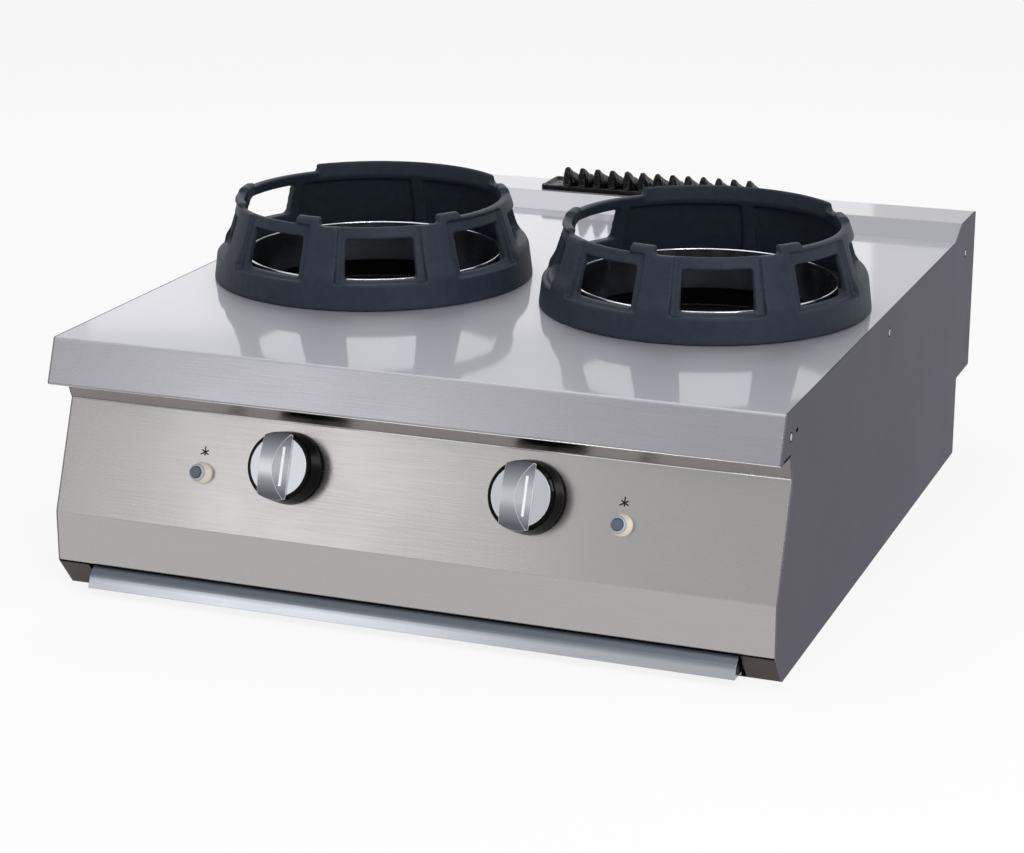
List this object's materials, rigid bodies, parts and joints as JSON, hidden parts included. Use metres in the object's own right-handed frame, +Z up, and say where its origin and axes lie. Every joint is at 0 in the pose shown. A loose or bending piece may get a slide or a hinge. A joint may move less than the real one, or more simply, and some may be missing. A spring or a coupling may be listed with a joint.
{
  "type": "wok range",
  "caption": "Countertop gas wok range with cast rings over round wells, a sloping panel with knobs and igniters, a slide-out drip tray and a toothed flue grille",
  "frame": {"origin": "the middle of the footprint, on the underside that rests on the bench or stand, which the rest_face mount marks", "axes": "+X to the right, +Y from the control panel to the flue, +Z up"},
  "size_m": [0.8, 0.9114, 0.38],
  "materials": {
    "worktop_steel": "smooth rolled, near mirror",
    "cabinet_steel": "satin brushed",
    "polished_steel": "polished",
    "cast_iron": "semi-matt enamel",
    "burner_iron": "raw cast",
    "brass": "machined",
    "insulator": "glazed",
    "zinc_steel": "zinc plated",
    "knob_black": "gloss",
    "knob_silver": "satin silver",
    "pointer_white": "white inlay",
    "igniter_grey": "smooth",
    "bezel_cream": "smooth",
    "button_slate": "smooth"
  },
  "bodies": {
    "cabinet": {"worktop": "worktop_steel", "upstand": "worktop_steel", "side_panel_left": "cabinet_steel", "side_panel_right": "cabinet_steel", "back_panel": "cabinet_steel", "base_plate": "cabinet_steel", "recess_rail": "cabinet_steel", "control_panel": "cabinet_steel", "collar_left": "polished_steel", "well_left": "worktop_steel", "burner_head_left": "burner_iron", "mixing_tube_left": "burner_iron", "pilot_burner_left": "brass", "thermocouple_left": "brass", "spark_electrode_left": "insulator", "jet_bracket_left": "zinc_steel", "gas_jet_left": "brass", "gas_tap_left": "brass", "igniter_left": "igniter_grey", "igniter_bezel_left": "bezel_cream", "feed_pipe_left": "zinc_steel", "collar_right": "polished_steel", "well_right": "worktop_steel", "burner_head_right": "burner_iron", "mixing_tube_right": "burner_iron", "pilot_burner_right": "brass", "thermocouple_right": "brass", "spark_electrode_right": "insulator", "jet_bracket_right": "zinc_steel", "gas_jet_right": "brass", "gas_tap_right": "brass", "igniter_right": "igniter_grey", "igniter_bezel_right": "bezel_cream", "feed_pipe_right": "zinc_steel", "burner_rail": "zinc_steel", "jet_rail": "zinc_steel", "igniter_nuts": "zinc_steel", "gas_pipe": "zinc_steel", "flue_duct": "zinc_steel", "tray_runners": "zinc_steel", "gas_inlet": "brass"},
    "plunger_left": {"push_pin_left": "brass"},
    "knob_left": {"tap_stem_left": "zinc_steel", "knob_body_left": "knob_black", "knob_grip_left": "knob_silver", "knob_pointer_left": "pointer_white"},
    "igniter_push_left": {"igniter_button_left": "button_slate"},
    "ring_left": {"wok_ring_left": "cast_iron"},
    "crown_left": {"burner_crown_left": "burner_iron"},
    "plunger_right": {"push_pin_right": "brass"},
    "knob_right": {"tap_stem_right": "zinc_steel", "knob_body_right": "knob_black", "knob_grip_right": "knob_silver", "knob_pointer_right": "pointer_white"},
    "igniter_push_right": {"igniter_button_right": "button_slate"},
    "ring_right": {"wok_ring_right": "cast_iron"},
    "crown_right": {"burner_crown_right": "burner_iron"},
    "tray": {"drip_tray": "cabinet_steel", "tray_handle": "polished_steel"},
    "grille": {"flue_grille": "cast_iron"}
  },
  "joints": [
    {"name": "knob_push_left", "type": "slide", "parent": "cabinet", "child": "plunger_left", "axis": [0, 0.9336, -0.3584], "range_m": [0, 0.004], "stiffness_N_per_m": 900, "springref_m": -0.002},
    {"name": "knob_turn_left", "type": "hinge", "parent": "plunger_left", "child": "knob_left", "pos_m": [-0.1335, -0.41998, 0.16], "axis": [0, -0.9336, 0.3584], "range_deg": [0, 180]},
    {"name": "igniter_press_left", "type": "slide", "parent": "cabinet", "child": "igniter_push_left", "axis": [0, 0.9336, -0.3584], "range_m": [0, 0.005], "stiffness_N_per_m": 400, "springref_m": -0.002},
    {"name": "ring_lift_left", "type": "slide", "parent": "cabinet", "child": "ring_left", "axis": [0, 0, 1], "range_m": [0, 0.12]},
    {"name": "crown_lift_left", "type": "slide", "parent": "cabinet", "child": "crown_left", "axis": [0, 0, 1], "range_m": [0, 0.1]},
    {"name": "knob_push_right", "type": "slide", "parent": "cabinet", "child": "plunger_right", "axis": [0, 0.9336, -0.3584], "range_m": [0, 0.004], "stiffness_N_per_m": 900, "springref_m": -0.002},
    {"name": "knob_turn_right", "type": "hinge", "parent": "plunger_right", "child": "knob_right", "pos_m": [0.1335, -0.41998, 0.16], "axis": [0, -0.9336, 0.3584], "range_deg": [0, 180]},
    {"name": "igniter_press_right", "type": "slide", "parent": "cabinet", "child": "igniter_push_right", "axis": [0, 0.9336, -0.3584], "range_m": [0, 0.005], "stiffness_N_per_m": 400, "springref_m": -0.002},
    {"name": "ring_lift_right", "type": "slide", "parent": "cabinet", "child": "ring_right", "axis": [0, 0, 1], "range_m": [0, 0.12]},
    {"name": "crown_lift_right", "type": "slide", "parent": "cabinet", "child": "crown_right", "axis": [0, 0, 1], "range_m": [0, 0.1]},
    {"name": "tray_slide", "type": "slide", "parent": "cabinet", "child": "tray", "axis": [0, -1, 0], "range_m": [0, 0.45]},
    {"name": "grille_lift", "type": "slide", "parent": "cabinet", "child": "grille", "axis": [0, 0, 1], "range_m": [0, 0.06]}
  ]
}
